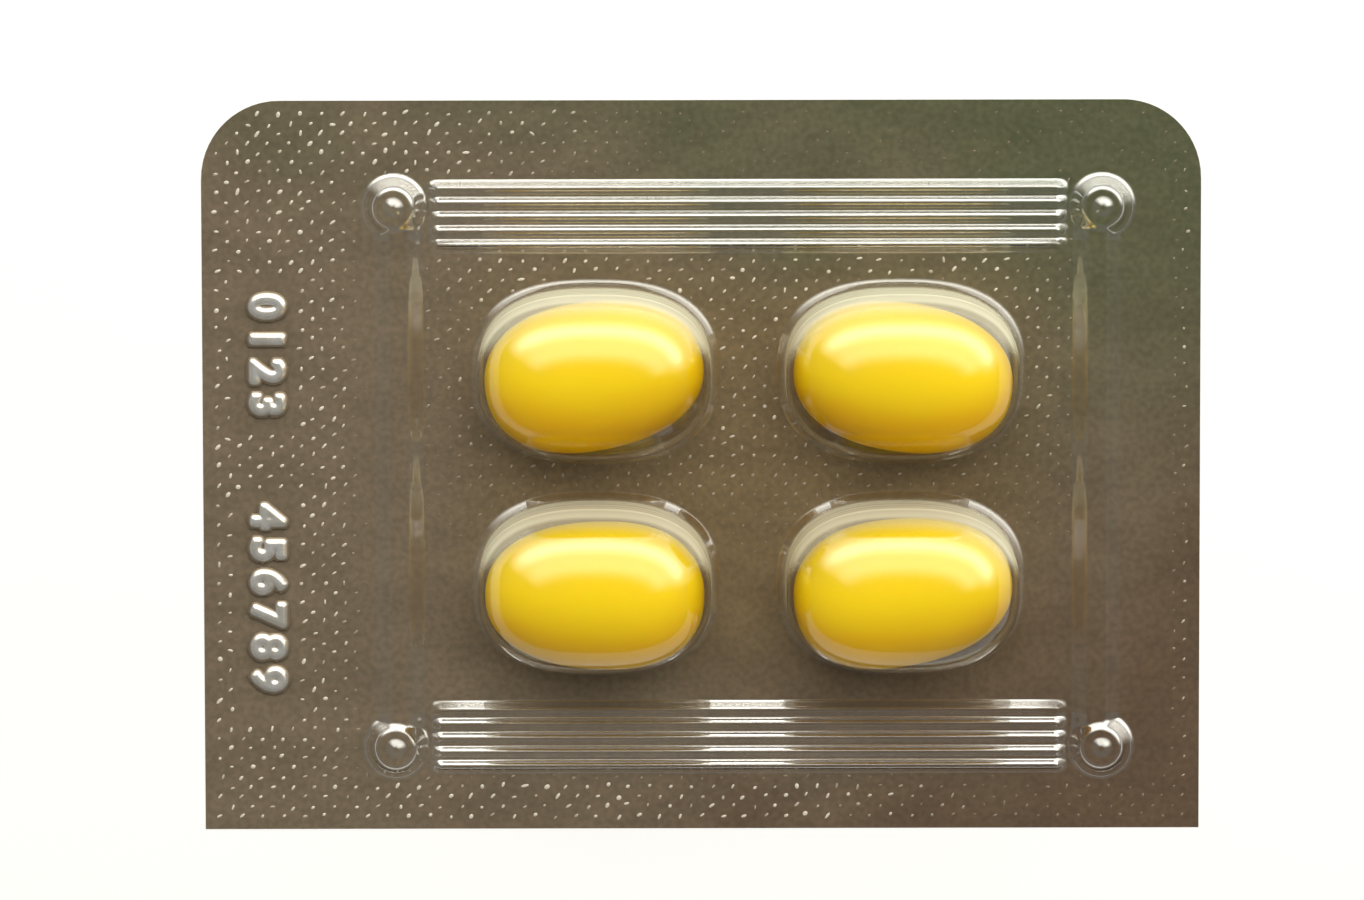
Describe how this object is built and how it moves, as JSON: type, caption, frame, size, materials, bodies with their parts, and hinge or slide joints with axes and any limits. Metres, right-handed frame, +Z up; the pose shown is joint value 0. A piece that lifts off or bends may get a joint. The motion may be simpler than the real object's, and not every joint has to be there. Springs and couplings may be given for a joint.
{
  "type": "pill blister pack",
  "caption": "Flat card of clear formed film sealed over foil, with an oval softgel capsule in each raised pocket and a fluted stiffening frame round them.",
  "frame": {"origin": "middle of the card's length and width, on the underside of the lidding foil", "axes": "+X along the card's long side, away from the wide margin; +Y towards the edge with the rounded corners; +Z up, out of the pockets"},
  "size_m": [0.06, 0.044, 0.0094],
  "materials": {
    "clear_film": "clear glossy thermoformed film",
    "lidding_foil": "dark satin foil with a pressed heat-seal grid",
    "softgel": "glossy yellow gelatine shell filled with oil"
  },
  "bodies": {
    "root": {"blister_film": "clear_film", "lidding_foil": "lidding_foil", "capsule_upper_left": "softgel", "capsule_upper_right": "softgel", "capsule_lower_left": "softgel", "capsule_lower_right": "softgel"}
  },
  "joints": []
}
